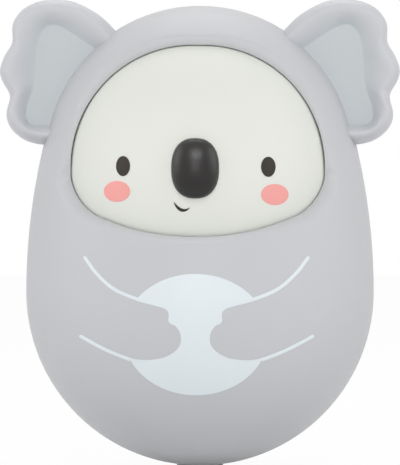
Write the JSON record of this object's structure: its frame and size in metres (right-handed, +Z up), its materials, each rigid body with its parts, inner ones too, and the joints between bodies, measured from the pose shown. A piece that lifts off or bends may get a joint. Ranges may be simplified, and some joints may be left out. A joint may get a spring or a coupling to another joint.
{
  "type": "roly poly toy",
  "caption": "Egg-shaped roly-poly animal toy with dished ears, a weighted face ball that nods in a window, a printed tummy, an iron ballast in the round base and a rod chime.",
  "frame": {"origin": "middle of the small flat foot under the round base, on the upright axis of the egg", "axes": "+Z up, -Y towards the face, +X towards the ear on the viewer's right"},
  "size_m": [0.1036, 0.095, 0.1207],
  "materials": {
    "shell_plastic": "satin",
    "ear_plastic": "satin",
    "face_plastic": "satin",
    "inner_plastic": "satin",
    "nose_plastic": "gloss",
    "dark_ink": "satin",
    "cheek_ink": "satin",
    "tummy_ink": "satin",
    "steel": "satin",
    "bright_steel": "satin",
    "iron": "matte",
    "beech": "satin"
  },
  "bodies": {
    "shell": {"front_shell": "shell_plastic", "rear_shell": "shell_plastic", "left_ear": "ear_plastic", "right_ear": "ear_plastic", "shell_screws": "steel", "tummy_print": "tummy_ink", "carrier_plate": "inner_plastic", "ballast": "iron", "ballast_screws": "steel", "chime_rod_1": "bright_steel", "chime_rod_2": "bright_steel", "chime_rod_3": "bright_steel", "chime_rod_4": "bright_steel", "chime_rod_5": "bright_steel", "chime_rod_6": "bright_steel", "chime_bridge": "inner_plastic", "bridge_screws": "steel", "clapper_pin": "steel"},
    "head": {"face_shell": "face_plastic", "head_back": "inner_plastic", "head_screws": "steel", "head_axle": "steel", "head_weight": "steel", "nose": "nose_plastic", "nose_clip": "steel", "eyes": "dark_ink", "cheeks": "cheek_ink", "smile": "dark_ink"},
    "clapper": {"clapper_arm": "inner_plastic", "clapper_hammer": "beech"}
  },
  "joints": [
    {"name": "head_nod", "type": "hinge", "parent": "shell", "child": "head", "pos_m": [0, -0.0129, 0.0761], "axis": [1, 0, 0], "range_deg": [-12, 12]},
    {"name": "clapper_swing", "type": "hinge", "parent": "shell", "child": "clapper", "pos_m": [0, 0.004, 0.038], "axis": [0, 1, 0], "range_deg": [-32, 32]}
  ]
}
